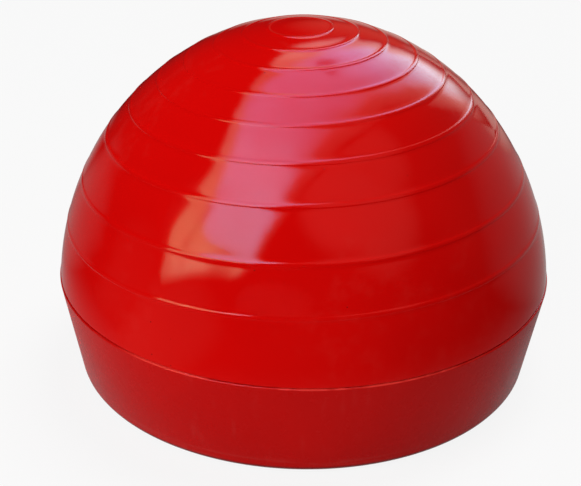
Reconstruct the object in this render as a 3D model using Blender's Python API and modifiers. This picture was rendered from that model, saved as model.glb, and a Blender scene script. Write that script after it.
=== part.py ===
"""Half-dome balance trainer: an air-filled vinyl dome clamped on a stiff base.

Metres, +Z up. The origin is on the floor, on the axis that every turned piece shares.
From the top down: a ringed dome skin whose skirt drops inside the base's rim, a sheet that closes
its air chamber, a valve in that sheet, a plywood deck that clamps the skirt's bead on a ledge,
and a moulded pan with screw pillars, a pump well and rubber feet.
"""

import math

import bmesh
import bpy
import numpy as np

# Clearance between pieces that touch on the real object
FIT_GAP = 0.0003

# Dome skin. The sizes are those above its lap. The rounded form that it is cut from would be
# widest a little further down.
DOME_RADIUS = 0.249
DOME_HEIGHT = 0.250
DOME_CUT_ABOVE_WIDEST = 0.022
DOME_FULLNESS = 1.95
SKIN_THICKNESS = 0.003
LAP_ROUND = 0.0015
SKIRT_DEPTH = 0.020
BEAD_WIDTH = 0.008
BEAD_HEIGHT = 0.0055

# Raised flat rings: how far each lies from the one above, along the skin, from the crown down
RING_STEPS = (0.0307, 0.0248, 0.0292, 0.0327, 0.0324, 0.0372, 0.0392, 0.0513, 0.0474)
RING_WIDTH = 0.0052
RING_FLANK = 0.0014
RING_HEIGHT = 0.0006

# Sheet that closes the air chamber
SHEET_THICKNESS = 0.002

# Base pan
BASE_HEIGHT = 0.102
BAND_PROUD = 0.0013
BAND_DRAW_IN = 0.0188
RIM_WIDTH = 0.0088
RIM_ROUND = 0.0015
PAN_WALL = 0.004
PAN_FLOOR = 0.004
PAN_CORNER_ROUND = 0.008
PAN_INNER_ROUND = 0.004
LEDGE_WIDTH = 0.0155
LEDGE_THICKNESS = 0.004
LEDGE_HAUNCH = 0.010
WELL_RADIUS = 0.035
WELL_MOUTH_ROUND = 0.0015
RIB_COUNT = 8
RIB_THICKNESS = 0.003
RIB_HEIGHT = 0.012

# Plywood deck
DECK_THICKNESS = 0.010
DECK_HOLE_CLEARANCE = 0.001

# Screws, driven upwards through the pan's pillars into the deck
SCREW_COUNT = 8
PILLAR_INSET = 0.060
PILLAR_RADIUS = 0.009
PILLAR_BORE_RADIUS = 0.0062
PILLAR_WEB = 0.010
SCREW_RADIUS = 0.0024
SCREW_HEAD_RADIUS = 0.005
SCREW_HEAD_HEIGHT = 0.003
SCREW_RECESS_RADIUS = 0.0018
SCREW_RECESS_DEPTH = 0.0016
SCREW_POINT = 0.003
DECK_OVER_SCREW = 0.003
SCREW_END_ROOM = 0.001

# Valve
VALVE_BORE_RADIUS = 0.005
VALVE_NECK_WALL = 0.003
VALVE_NECK_PROUD = 0.004
VALVE_FLANGE_RADIUS = 0.018
VALVE_FLANGE_THICKNESS = 0.0015
PLUG_STEM_LENGTH = 0.016
PLUG_TIP_TAPER = 0.003
PLUG_TIP_DRAW_IN = 0.0008
PLUG_HEAD_RADIUS = 0.010
PLUG_HEAD_THICKNESS = 0.0025
PLUG_GRIP_RADIUS = 0.005
PLUG_GRIP_LENGTH = 0.007
PLUG_EDGE_ROUND = 0.0008

# Rubber feet
FOOT_COUNT = 8
FOOT_INSET = 0.0253
FOOT_RADIUS = 0.012
FOOT_PROUD = 0.002
FOOT_SUNK = 0.0015
FOOT_EDGE_ROUND = 0.001

# Fineness of the meshes: sides round a turned piece, and the longest straight run along the dome
SIDES_LARGE = 56
SIDES_SMALL = 16
OUTER_RUN = 0.022
INNER_RUN = 0.034
MERGE_DISTANCE = 0.00001
CUT_MARGIN = 0.001

# Levels, from the floor up
PAN_BOTTOM = FOOT_PROUD
PAN_FLOOR_TOP = PAN_BOTTOM + PAN_FLOOR
RIM_TOP = PAN_BOTTOM + BASE_HEIGHT
LEDGE_TOP = RIM_TOP - SKIRT_DEPTH
LEDGE_UNDERSIDE = LEDGE_TOP - LEDGE_THICKNESS
LAP_BOTTOM = RIM_TOP + FIT_GAP
LAP_TOP = LAP_BOTTOM + SKIN_THICKNESS
LAP_SHOULDER = LAP_BOTTOM + LAP_ROUND
BEAD_BOTTOM = LEDGE_TOP + FIT_GAP
BEAD_TOP = BEAD_BOTTOM + BEAD_HEIGHT
DECK_BOTTOM = LEDGE_TOP + FIT_GAP
DECK_TOP = DECK_BOTTOM + DECK_THICKNESS
SHEET_BOTTOM = DECK_TOP + FIT_GAP
SHEET_TOP = SHEET_BOTTOM + SHEET_THICKNESS
VALVE_FLANGE_BOTTOM = SHEET_TOP + FIT_GAP
VALVE_NECK_BOTTOM = DECK_BOTTOM - VALVE_NECK_PROUD
WEB_BOTTOM = LEDGE_TOP - PILLAR_WEB
SCREW_TIP = DECK_TOP - DECK_OVER_SCREW

# Radii, from the band inwards
BAND_TOP_RADIUS = DOME_RADIUS + BAND_PROUD
BAND_FOOT_RADIUS = BAND_TOP_RADIUS - BAND_DRAW_IN
BORE_RADIUS = BAND_TOP_RADIUS - RIM_WIDTH
SKIRT_OUTER_RADIUS = BORE_RADIUS - FIT_GAP
SKIRT_INNER_RADIUS = SKIRT_OUTER_RADIUS - SKIN_THICKNESS
BEAD_INNER_RADIUS = SKIRT_OUTER_RADIUS - BEAD_WIDTH
LEDGE_INNER_RADIUS = BORE_RADIUS - LEDGE_WIDTH
DECK_RADIUS = SKIRT_INNER_RADIUS - FIT_GAP
DECK_NOTCH_RADIUS = BEAD_INNER_RADIUS - FIT_GAP
WELL_OUTER_RADIUS = WELL_RADIUS + PAN_WALL
PILLAR_CIRCLE = LEDGE_INNER_RADIUS - PILLAR_INSET
FOOT_CIRCLE = BAND_FOOT_RADIUS - FOOT_INSET
VALVE_NECK_RADIUS = VALVE_BORE_RADIUS + VALVE_NECK_WALL


def clear_scene():
    for old in list(bpy.data.objects):
        bpy.data.objects.remove(old, do_unlink=True)


def new_collection(name):
    made = bpy.data.collections.new(name)
    bpy.context.scene.collection.children.link(made)
    return made


def new_material(name, colour, roughness, metallic=0.0):
    made = bpy.data.materials.new(name)
    made.use_nodes = True
    shader = made.node_tree.nodes["Principled BSDF"]
    shader.inputs["Base Color"].default_value = (*colour, 1.0)
    shader.inputs["Roughness"].default_value = roughness
    shader.inputs["Metallic"].default_value = metallic
    return made


def rounded(corners, closed=True, steps=3):
    """Corners are (radius, level, rounding). Each rounded one becomes an arc of straight runs."""
    outline = []
    last = len(corners) - 1
    for i, (x, z, rounding) in enumerate(corners):
        if rounding <= 0 or (not closed and i in (0, last)):
            outline.append((x, z))
            continue
        here = np.array((x, z))
        before = np.array(corners[i - 1][:2]) - here
        after = np.array(corners[(i + 1) % len(corners)][:2]) - here
        before = before / np.linalg.norm(before)
        after = after / np.linalg.norm(after)
        half = math.acos(float(np.clip(before @ after, -1, 1))) / 2
        middle = before + after
        centre = here + middle / np.linalg.norm(middle) * rounding / math.sin(half)
        start = here + before * rounding / math.tan(half) - centre
        end = here + after * rounding / math.tan(half) - centre
        sweep = math.atan2(start[0] * end[1] - start[1] * end[0], float(start @ end))
        for k in range(steps + 1):
            turn = sweep * k / steps
            c = math.cos(turn)
            s = math.sin(turn)
            outline.append(
                (centre[0] + c * start[0] - s * start[1], centre[1] + s * start[0] + c * start[1])
            )
    return outline


def turned(name, outline, sides, closed=True):
    """Turns an outline of (radius, level) points round the Z axis and returns the mesh object."""
    profile = bpy.data.meshes.new(name + "_profile")
    edges = [(i, i + 1) for i in range(len(outline) - 1)]
    if closed:
        edges.append((len(outline) - 1, 0))
    profile.from_pydata([(x, 0.0, z) for x, z in outline], edges, [])
    made = bpy.data.objects.new(name, profile)
    bpy.context.scene.collection.objects.link(made)
    screw = made.modifiers.new("turn", "SCREW")
    screw.axis = "Z"
    screw.angle = math.tau
    screw.steps = sides
    screw.render_steps = sides
    screw.use_merge_vertices = True
    screw.merge_threshold = MERGE_DISTANCE
    made.data = evaluated_copy(made, name)
    made.modifiers.clear()
    bpy.data.meshes.remove(profile)
    bpy.context.scene.collection.objects.unlink(made)
    smooth(made.data)
    return made


def evaluated_copy(source, name):
    bpy.context.view_layer.update()
    depsgraph = bpy.context.evaluated_depsgraph_get()
    copy = bpy.data.meshes.new_from_object(source.evaluated_get(depsgraph))
    copy.name = name
    return copy


def smooth(mesh):
    mesh.shade_smooth()
    mesh.set_sharp_from_angle(angle=math.radians(30))


def in_place(made, collection, parent, look, location=(0, 0, 0), turn=0.0):
    collection.objects.link(made)
    made.parent = parent
    made.location = location
    made.rotation_euler = (0, 0, turn)
    if look and not made.data.materials:
        made.data.materials.append(look)
    return made


def on_circle(radius, count, offset=0.0):
    """Angles and places of evenly spaced copies round the axis; offset is a share of one space."""
    for i in range(count):
        angle = math.tau * (i + offset) / count
        yield angle, radius * math.cos(angle), radius * math.sin(angle)


def cylinders(name, radius, bottom, top, places, sides=SIDES_SMALL):
    """One mesh of upright cylinders that stand clear of each other."""
    bm = bmesh.new()
    for angle, x, y in places:
        found = bmesh.ops.create_cone(
            bm,
            cap_ends=True,
            segments=sides,
            radius1=radius,
            radius2=radius,
            depth=top - bottom,
        )
        turn_and_move(bm, found["verts"], angle, (x, y, (bottom + top) / 2))
    return finished(bm, name)


def turn_and_move(bm, verts, angle, place):
    c = math.cos(angle)
    s = math.sin(angle)
    for v in verts:
        x, y, z = v.co
        v.co = (x * c - y * s + place[0], x * s + y * c + place[1], z + place[2])


def finished(bm, name):
    bmesh.ops.recalc_face_normals(bm, faces=bm.faces)
    mesh = bpy.data.meshes.new(name)
    bm.to_mesh(mesh)
    bm.free()
    return bpy.data.objects.new(name, mesh)


def boolean(target, other, operation):
    modifier = target.modifiers.new(other.name, "BOOLEAN")
    modifier.operation = operation
    modifier.solver = "EXACT"
    modifier.object = other


def guide(made, collection, parent):
    """A shape that only joins or cuts another."""
    in_place(made, collection, parent, None)
    made.hide_render = True
    made.display_type = "WIRE"
    return made


def dome_curve():
    """Fine points down the dome's outside, from the crown, with the distance along it of each."""
    whole_height = DOME_HEIGHT + DOME_CUT_ABOVE_WIDEST
    cut = math.acos((DOME_CUT_ABOVE_WIDEST / whole_height) ** (DOME_FULLNESS / 2))
    angles = np.linspace(0, cut, 4001)
    power = 2 / DOME_FULLNESS
    radii = DOME_RADIUS * (np.sin(angles) / math.sin(cut)) ** power
    levels = LAP_SHOULDER - DOME_CUT_ABOVE_WIDEST + whole_height * np.cos(angles) ** power
    along = np.concatenate([[0], np.cumsum(np.hypot(np.diff(radii), np.diff(levels)))])
    return radii, levels, along


def dome_point(curve, distance, lift=0.0):
    """The point at a distance along the dome from its crown, lifted off it along its normal."""
    radii, levels, along = curve
    reach = 0.0005
    x = float(np.interp(distance, along, radii))
    z = float(np.interp(distance, along, levels))
    low = max(distance - reach, 0)
    high = min(distance + reach, along[-1])
    run = float(np.interp(high, along, radii) - np.interp(low, along, radii))
    rise = float(np.interp(high, along, levels) - np.interp(low, along, levels))
    length = math.hypot(run, rise)
    if distance <= 0:
        return 0.0, z + lift
    if distance >= along[-1]:
        return x + lift, z
    return x - rise / length * lift, z + run / length * lift


def spread(start, end, longest):
    """Even stops from start to end, both left out, no further apart than longest."""
    spaces = max(1, math.ceil((end - start) / longest))
    return [start + (end - start) * k / spaces for k in range(1, spaces)]


def skin_outline():
    """Down the outside with its rings, round the lap, down the skirt to the bead, and up inside."""
    curve = dome_curve()
    whole = float(curve[2][-1])
    stops = [(0.0, 0.0)]
    for centre in np.cumsum(RING_STEPS):
        top = centre - RING_WIDTH / 2
        foot = centre + RING_WIDTH / 2
        stops += [(d, 0.0) for d in spread(stops[-1][0], top, OUTER_RUN)]
        stops += [(top, 0.0), (top + RING_FLANK, RING_HEIGHT)]
        stops += [(foot - RING_FLANK, RING_HEIGHT), (foot, 0.0)]
    stops += [(d, 0.0) for d in spread(stops[-1][0], whole, OUTER_RUN)]
    outer = [dome_point(curve, d, lift) for d, lift in stops]
    lap = rounded(
        [
            (DOME_RADIUS, LAP_SHOULDER + LAP_ROUND, 0),
            (DOME_RADIUS, LAP_BOTTOM, LAP_ROUND),
            (SKIRT_OUTER_RADIUS, LAP_BOTTOM, 0),
        ],
        closed=False,
    )[1:]
    skirt = [
        (SKIRT_OUTER_RADIUS, BEAD_BOTTOM),
        (BEAD_INNER_RADIUS, BEAD_BOTTOM),
        (BEAD_INNER_RADIUS, BEAD_TOP),
        (SKIRT_INNER_RADIUS, BEAD_TOP),
        (SKIRT_INNER_RADIUS, LAP_TOP),
    ]
    inner = [dome_point(curve, d, -SKIN_THICKNESS) for d in spread(0, whole, INNER_RUN)]
    above = [p for p in reversed(inner) if p[1] > LAP_TOP + SKIN_THICKNESS]
    skirt.append((DOME_RADIUS - SKIN_THICKNESS, LAP_TOP))
    return outer + lap + skirt + above + [dome_point(curve, 0, -SKIN_THICKNESS)]


def band_radius(level):
    """Radius of the band's outside at a level."""
    return BAND_TOP_RADIUS - BAND_DRAW_IN * (RIM_TOP - level) / BASE_HEIGHT


def pan_outline():
    haunch = LEDGE_UNDERSIDE - LEDGE_HAUNCH
    return rounded(
        [
            (BORE_RADIUS, RIM_TOP, 0),
            (BAND_TOP_RADIUS, RIM_TOP, RIM_ROUND),
            (BAND_FOOT_RADIUS, PAN_BOTTOM, PAN_CORNER_ROUND),
            (WELL_RADIUS, PAN_BOTTOM, WELL_MOUTH_ROUND),
            (WELL_RADIUS, LEDGE_TOP, 0),
            (WELL_OUTER_RADIUS, LEDGE_TOP, 0),
            (WELL_OUTER_RADIUS, PAN_FLOOR_TOP, 0),
            (band_radius(PAN_FLOOR_TOP) - PAN_WALL, PAN_FLOOR_TOP, PAN_INNER_ROUND),
            (band_radius(haunch) - PAN_WALL, haunch, 0),
            (LEDGE_INNER_RADIUS, LEDGE_UNDERSIDE, 0),
            (LEDGE_INNER_RADIUS, LEDGE_TOP, 0),
            (BORE_RADIUS, LEDGE_TOP, 0),
        ]
    )


def rib(bm, angle):
    """An upright rib on the pan's floor, let into the well's wall and into the band's wall."""
    found = bmesh.ops.create_cube(bm, size=1.0)
    low = PAN_FLOOR_TOP - PAN_FLOOR / 2
    high = PAN_FLOOR_TOP + RIB_HEIGHT
    for v in found["verts"]:
        level = high if v.co.z > 0 else low
        wall = band_radius(max(level, PAN_FLOOR_TOP)) - PAN_WALL * 3 / 4
        reach = wall if v.co.x > 0 else WELL_OUTER_RADIUS - PAN_WALL / 2
        v.co = (reach, v.co.y * RIB_THICKNESS, level)
    turn_and_move(bm, found["verts"], angle, (0, 0, 0))


def ribs():
    bm = bmesh.new()
    for angle, _, _ in on_circle(0, RIB_COUNT):
        rib(bm, angle)
    return finished(bm, "rib_guide")


def base_pan(parts, guides, root, look):
    pan = in_place(turned("base_pan", pan_outline(), SIDES_LARGE), parts, root, look)
    pillars = list(on_circle(PILLAR_CIRCLE, SCREW_COUNT))
    feet = list(on_circle(FOOT_CIRCLE, FOOT_COUNT, 0.5))
    pillar_foot = PAN_BOTTOM + PAN_FLOOR / 2
    below = PAN_BOTTOM - CUT_MARGIN
    shapes = [
        (ribs(), "UNION"),
        (cylinders("pillar_guide", PILLAR_RADIUS, pillar_foot, LEDGE_TOP, pillars), "UNION"),
        (
            cylinders("pillar_bore_cutter", PILLAR_BORE_RADIUS, below, WEB_BOTTOM, pillars),
            "DIFFERENCE",
        ),
        (
            cylinders(
                "screw_hole_cutter",
                SCREW_RADIUS + FIT_GAP,
                WEB_BOTTOM - CUT_MARGIN,
                LEDGE_TOP + CUT_MARGIN,
                pillars,
                sides=SIDES_SMALL * 3 // 4,
            ),
            "DIFFERENCE",
        ),
        (
            cylinders(
                "foot_pocket_cutter",
                FOOT_RADIUS + FIT_GAP,
                below,
                PAN_BOTTOM + FOOT_SUNK + FIT_GAP,
                feet,
            ),
            "DIFFERENCE",
        ),
    ]
    for shape, operation in shapes:
        boolean(pan, guide(shape, guides, root), operation)
    return pan


def support_deck(parts, guides, root, look):
    outline = [
        (VALVE_NECK_RADIUS + DECK_HOLE_CLEARANCE, DECK_TOP),
        (DECK_RADIUS, DECK_TOP),
        (DECK_RADIUS, BEAD_TOP + FIT_GAP),
        (DECK_NOTCH_RADIUS, BEAD_TOP + FIT_GAP),
        (DECK_NOTCH_RADIUS, DECK_BOTTOM),
        (VALVE_NECK_RADIUS + DECK_HOLE_CLEARANCE, DECK_BOTTOM),
    ]
    deck = in_place(turned("support_deck", outline, SIDES_LARGE), parts, root, look)
    holes = cylinders(
        "pilot_hole_cutter",
        SCREW_RADIUS + FIT_GAP,
        DECK_BOTTOM - CUT_MARGIN,
        SCREW_TIP + SCREW_END_ROOM,
        on_circle(PILLAR_CIRCLE, SCREW_COUNT),
        sides=SIDES_SMALL * 3 // 4,
    )
    boolean(deck, guide(holes, guides, root), "DIFFERENCE")
    return deck


def chamber_floor(parts, root, look):
    hole = VALVE_NECK_RADIUS + FIT_GAP
    outline = [
        (hole, SHEET_TOP),
        (DECK_RADIUS, SHEET_TOP),
        (DECK_RADIUS, SHEET_BOTTOM),
        (hole, SHEET_BOTTOM),
    ]
    return in_place(turned("chamber_floor", outline, SIDES_LARGE), parts, root, look)


def valve_seat(parts, root, look):
    """A flange on the sheet's upper side with a neck that hangs through the sheet and the deck."""
    flange_top = VALVE_FLANGE_BOTTOM + VALVE_FLANGE_THICKNESS
    outline = [
        (VALVE_BORE_RADIUS, flange_top),
        (VALVE_FLANGE_RADIUS, flange_top),
        (VALVE_FLANGE_RADIUS, VALVE_FLANGE_BOTTOM),
        (VALVE_NECK_RADIUS, VALVE_FLANGE_BOTTOM),
        (VALVE_NECK_RADIUS, VALVE_NECK_BOTTOM),
        (VALVE_BORE_RADIUS, VALVE_NECK_BOTTOM),
    ]
    return in_place(turned("valve_seat", outline, SIDES_SMALL), parts, root, look)


def valve_plug(parts, root, look):
    """The stopper. Its origin is on the way it pulls out, where its head meets the neck."""
    stem = VALVE_BORE_RADIUS - FIT_GAP
    tip = stem - PLUG_TIP_DRAW_IN
    head_bottom = -PLUG_HEAD_THICKNESS
    grip_bottom = head_bottom - PLUG_GRIP_LENGTH
    outline = rounded(
        [
            (0, PLUG_STEM_LENGTH, 0),
            (tip, PLUG_STEM_LENGTH, 0),
            (stem, PLUG_STEM_LENGTH - PLUG_TIP_TAPER, 0),
            (stem, 0, 0),
            (PLUG_HEAD_RADIUS, 0, PLUG_EDGE_ROUND),
            (PLUG_HEAD_RADIUS, head_bottom, PLUG_EDGE_ROUND),
            (PLUG_GRIP_RADIUS, head_bottom, 0),
            (PLUG_GRIP_RADIUS, grip_bottom, PLUG_EDGE_ROUND),
            (0, grip_bottom, 0),
        ],
        closed=False,
        steps=2,
    )
    plug = turned("valve_plug", outline, SIDES_SMALL, closed=False)
    return in_place(plug, parts, root, look, location=(0, 0, VALVE_NECK_BOTTOM - FIT_GAP))


def deck_screws(parts, root, look):
    """Pan-head screws, point up. The origin of each is where its head meets the pillar's web."""
    seat = WEB_BOTTOM - FIT_GAP
    tip = SCREW_TIP - seat
    outline = rounded(
        [
            (0, tip, 0),
            (SCREW_RADIUS, tip - SCREW_POINT, 0),
            (SCREW_RADIUS, 0, 0),
            (SCREW_HEAD_RADIUS, 0, 0),
            (SCREW_HEAD_RADIUS, -SCREW_HEAD_HEIGHT, SCREW_HEAD_HEIGHT / 2),
            (SCREW_RECESS_RADIUS, -SCREW_HEAD_HEIGHT, 0),
            (SCREW_RECESS_RADIUS, SCREW_RECESS_DEPTH - SCREW_HEAD_HEIGHT, 0),
            (0, SCREW_RECESS_DEPTH - SCREW_HEAD_HEIGHT, 0),
        ],
        closed=False,
        steps=2,
    )
    first = turned("deck_screw_1", outline, SIDES_SMALL * 3 // 4, closed=False)
    for i, (angle, x, y) in enumerate(on_circle(PILLAR_CIRCLE, SCREW_COUNT)):
        made = first if i == 0 else bpy.data.objects.new(f"deck_screw_{i + 1}", first.data)
        in_place(made, parts, root, look, location=(x, y, seat), turn=angle)


def rubber_feet(parts, root, look):
    """Round pads in the pan's pockets. The origin of each is on the floor."""
    outline = rounded(
        [
            (0, FOOT_PROUD + FOOT_SUNK, 0),
            (FOOT_RADIUS, FOOT_PROUD + FOOT_SUNK, 0),
            (FOOT_RADIUS, 0, FOOT_EDGE_ROUND),
            (0, 0, 0),
        ],
        closed=False,
        steps=2,
    )
    first = turned("rubber_foot_1", outline, SIDES_SMALL, closed=False)
    for i, (angle, x, y) in enumerate(on_circle(FOOT_CIRCLE, FOOT_COUNT, 0.5)):
        made = first if i == 0 else bpy.data.objects.new(f"rubber_foot_{i + 1}", first.data)
        in_place(made, parts, root, look, location=(x, y, 0), turn=angle)


def main():
    clear_scene()
    parts = new_collection("half_dome_balance_trainer")
    guides = new_collection("guides_and_cutters")
    root = bpy.data.objects.new("trainer_axis", None)
    parts.objects.link(root)

    red_vinyl = new_material("red_vinyl", (0.60, 0.006, 0.006), 0.22)
    red_plastic = new_material("red_plastic", (0.46, 0.010, 0.010), 0.42)
    clear_vinyl = new_material("milky_vinyl", (0.70, 0.68, 0.62), 0.40)
    white_plastic = new_material("white_plastic", (0.85, 0.85, 0.83), 0.35)
    plywood = new_material("plywood", (0.52, 0.35, 0.19), 0.60)
    zinc = new_material("zinc_steel", (0.62, 0.62, 0.60), 0.30, 1.0)
    black_rubber = new_material("black_rubber", (0.02, 0.02, 0.02), 0.70)

    skin = turned("dome_skin", skin_outline(), SIDES_LARGE, closed=False)
    in_place(skin, parts, root, red_vinyl)
    chamber_floor(parts, root, red_vinyl)
    valve_seat(parts, root, clear_vinyl)
    valve_plug(parts, root, white_plastic)
    support_deck(parts, guides, root, plywood)
    base_pan(parts, guides, root, red_plastic)
    deck_screws(parts, root, zinc)
    rubber_feet(parts, root, black_rubber)


main()
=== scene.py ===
import math

import bpy
from mathutils import Matrix, Vector, noise


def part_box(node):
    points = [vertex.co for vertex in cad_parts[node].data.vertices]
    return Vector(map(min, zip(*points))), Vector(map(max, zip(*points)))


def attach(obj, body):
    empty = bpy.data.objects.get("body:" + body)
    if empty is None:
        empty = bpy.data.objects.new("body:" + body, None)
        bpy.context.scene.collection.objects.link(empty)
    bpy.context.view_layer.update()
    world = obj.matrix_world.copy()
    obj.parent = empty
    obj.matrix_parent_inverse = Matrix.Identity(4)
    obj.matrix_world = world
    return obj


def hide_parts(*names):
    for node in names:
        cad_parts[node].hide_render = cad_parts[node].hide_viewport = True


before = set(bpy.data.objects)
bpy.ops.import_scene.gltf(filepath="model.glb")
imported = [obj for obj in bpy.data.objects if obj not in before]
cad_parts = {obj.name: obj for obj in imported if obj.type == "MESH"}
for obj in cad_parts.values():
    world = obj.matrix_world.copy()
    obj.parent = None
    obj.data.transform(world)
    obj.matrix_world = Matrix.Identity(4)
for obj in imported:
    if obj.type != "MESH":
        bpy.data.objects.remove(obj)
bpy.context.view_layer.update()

# Metres, and radians except where a note or a name says degrees. Right is +X, back is +Y, and the trainer
# stands on the floor at the origin.


def clearSelection():
    if bpy.context.object and bpy.context.object.mode != "OBJECT":
        bpy.ops.object.mode_set(mode="OBJECT")
    bpy.ops.object.select_all(action="DESELECT")


def pickOnly(piece):
    clearSelection()
    piece.select_set(True)
    bpy.context.view_layer.objects.active = piece


def startEdit(choice="SELECT"):
    bpy.ops.object.mode_set(mode="EDIT")
    bpy.ops.mesh.select_all(action=choice)


def endEdit():
    bpy.ops.object.mode_set(mode="OBJECT")


def applyPlace():
    bpy.ops.object.transform_apply(location=True, rotation=True, scale=True)


def easeIn(share):
    return share * share * (3 - 2 * share)


def roundedLine(corners, closed=False, steps=4):
    # Each corner is (radius from the axis, level, rounding). A rounding takes at most a side's longestCut.
    longestCut = 0.98
    points = []
    count = len(corners)
    for i, (x, z, rounding) in enumerate(corners):
        atEnd = not closed and i in (0, count - 1)
        if rounding <= 0 or atEnd:
            points.append((x, z))
            continue
        here = Vector((x, z))
        before = Vector(corners[i - 1][:2]) - here
        after = Vector(corners[(i + 1) % count][:2]) - here
        half = before.angle(after) / 2
        reach = min(rounding / math.tan(half), before.length * longestCut, after.length * longestCut)
        radius = reach * math.tan(half)
        inward = (before.normalized() + after.normalized()).normalized()
        middle = here + inward * (radius / math.sin(half))
        first = here + before.normalized() * reach - middle
        turn = (here + after.normalized() * reach - middle).angle_signed(first)
        for k in range(steps + 1):
            angle = turn * k / steps
            c, s = math.cos(angle), math.sin(angle)
            points.append((middle.x + first.x * c - first.y * s, middle.y + first.x * s + first.y * c))
    return points


def drawLine(name, points, closed=False):
    # A plane merged to one vertex, which is then extruded from point to point
    clearSelection()
    bpy.ops.mesh.primitive_plane_add(size=0.01)
    piece = bpy.context.object
    piece.name = piece.data.name = name
    startEdit()
    bpy.ops.mesh.merge(type="CENTER")
    bpy.ops.transform.translate(value=(points[0][0], 0, points[0][1]))
    for (x0, z0), (x1, z1) in zip(points, points[1:]):
        step = (x1 - x0, 0, z1 - z0)
        bpy.ops.mesh.extrude_region_move(TRANSFORM_OT_translate={"value": step})
    endEdit()
    if closed:
        piece.data.vertices[0].select = True
        piece.data.vertices[len(points) - 1].select = True
        bpy.ops.object.mode_set(mode="EDIT")
        bpy.ops.mesh.edge_face_add()
        endEdit()
    return piece


def smoothByAngle(piece, degrees=35):
    pickOnly(piece)
    bpy.ops.object.shade_smooth_by_angle(angle=math.radians(degrees))


def spunPiece(name, points, sides, closed=False):
    # The outline turned once round the upright axis, with its poles and its seam closed
    piece = drawLine(name, points, closed)
    pickOnly(piece)
    startEdit()
    bpy.ops.mesh.spin(steps=sides, angle=math.tau, center=(0, 0, 0), axis=(0, 0, 1))
    bpy.ops.mesh.select_all(action="SELECT")
    bpy.ops.mesh.remove_doubles(threshold=0.00001)
    bpy.ops.mesh.normals_make_consistent(inside=False)
    endEdit()
    smoothByAngle(piece)
    return piece


def cutOrJoin(piece, other, operation):
    pickOnly(piece)
    change = piece.modifiers.new(other.name, "BOOLEAN")
    change.operation = operation
    change.solver = "MANIFOLD"
    change.object = other
    bpy.ops.object.modifier_apply(modifier=change.name)
    bpy.data.objects.remove(other)


def copiesRound(piece, count):
    # Copies of a piece turned round the upright axis, each with its own mesh; the piece is the first
    made = [piece]
    for i in range(1, count):
        copy = piece.copy()
        copy.data = piece.data.copy()
        bpy.context.scene.collection.objects.link(copy)
        copy.data.transform(Matrix.Rotation(math.tau * i / count, 4, "Z"))
        made.append(copy)
    return made


def middleOf(node):
    low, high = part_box(node)
    return (low.x + high.x) / 2, (low.y + high.y) / 2


def joinAll(pieces):
    clearSelection()
    for piece in pieces:
        piece.select_set(True)
    bpy.context.view_layer.objects.active = pieces[0]
    bpy.ops.object.join()
    return bpy.context.object


def finishPiece(piece, body, slotName, material, *nodes):
    pickOnly(piece)
    applyPlace()
    piece.data.materials.clear()
    piece.data.materials.append(material)
    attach(piece, body)
    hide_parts(*nodes)
    print("made", piece.name, len(piece.data.polygons), "faces")


def placeRound(first, node, slotName, material, count):
    # Moves the first piece, modelled on the axis, to its node's place, and copies it round the trainer
    first.data.transform(Matrix.Translation((*middleOf(node + "_1"), 0)))
    name = first.name[:-2]
    for i, piece in enumerate(copiesRound(first, count)):
        piece.name = piece.data.name = f"{name}_{i + 1}"
        finishPiece(piece, "trainer", slotName, material, f"{node}_{i + 1}")


# Node helpers: all of them work on the material, or the world, that was started last

building = {"tree": None}


def startNodes(owner):
    owner.use_nodes = True
    owner.node_tree.nodes.clear()
    building["tree"] = owner.node_tree


def startMaterial(name, kind="BsdfPrincipled"):
    material = bpy.data.materials.new(name)
    startNodes(material)
    shader = addNode(kind)
    addNode("OutputMaterial", {"Surface": shader})
    return material, shader


def addNode(kind, inputs=None, **settings):
    node = building["tree"].nodes.new("ShaderNode" + kind)
    for key, value in settings.items():
        setattr(node, key, value)
    for key, value in (inputs or {}).items():
        join(value, node.inputs[key])
    return node


def join(value, socket):
    if isinstance(value, bpy.types.NodeSocket):
        building["tree"].links.new(value, socket)
    elif isinstance(value, bpy.types.Node):
        building["tree"].links.new(value.outputs[0], socket)
    else:
        socket.default_value = value


def objectPlace(stretch=(1, 1, 1)):
    place = addNode("TexCoord")
    if stretch == (1, 1, 1):
        return place.outputs["Object"]
    return addNode("Mapping", {"Vector": place.outputs["Object"], "Scale": stretch})


def noiseAt(place, scale, detail=3.0, roughness=0.5):
    inputs = {"Vector": place, "Scale": scale, "Detail": detail, "Roughness": roughness}
    return addNode("TexNoise", inputs).outputs["Fac"]


def remap(value, low, high, newLow=0.0, newHigh=1.0, way="LINEAR"):
    inputs = {"Value": value, "From Min": low, "From Max": high, "To Min": newLow, "To Max": newHigh}
    return addNode("MapRange", inputs, interpolation_type=way).outputs["Result"]


def calc(operation, first, second=0.0):
    return addNode("Math", {0: first, 1: second}, operation=operation).outputs[0]


def times(first, second):
    return calc("MULTIPLY", first, second)


def vectorCalc(operation, first, second=(0, 0, 0)):
    node = addNode("VectorMath", {0: first, 1: second}, operation=operation)
    return node.outputs["Value" if operation in ("LENGTH", "DOT_PRODUCT") else "Vector"]


def scaled(colour, amount):
    return addNode("VectorMath", {0: colour, "Scale": amount}, operation="SCALE").outputs[0]


def partOf(vector, letter):
    return addNode("SeparateXYZ", {"Vector": vector}).outputs[letter]


def firstOf(colour):
    return addNode("SeparateColor", {"Color": colour}).outputs[0]


def mixColours(share, first, second):
    node = addNode("Mix", data_type="RGBA")
    join(share, node.inputs["Factor"])
    join(first, node.inputs[6])
    join(second, node.inputs[7])
    return node.outputs[2]


def bumpFrom(height, depth, strength=1.0, under=None):
    node = addNode("Bump", {"Height": height, "Distance": depth, "Strength": strength})
    if under:
        join(under, node.inputs["Normal"])
    return node.outputs[0]


# Dome: an air-filled vinyl skin with raised rings, a lap on the base's rim and a beaded skirt

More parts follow.
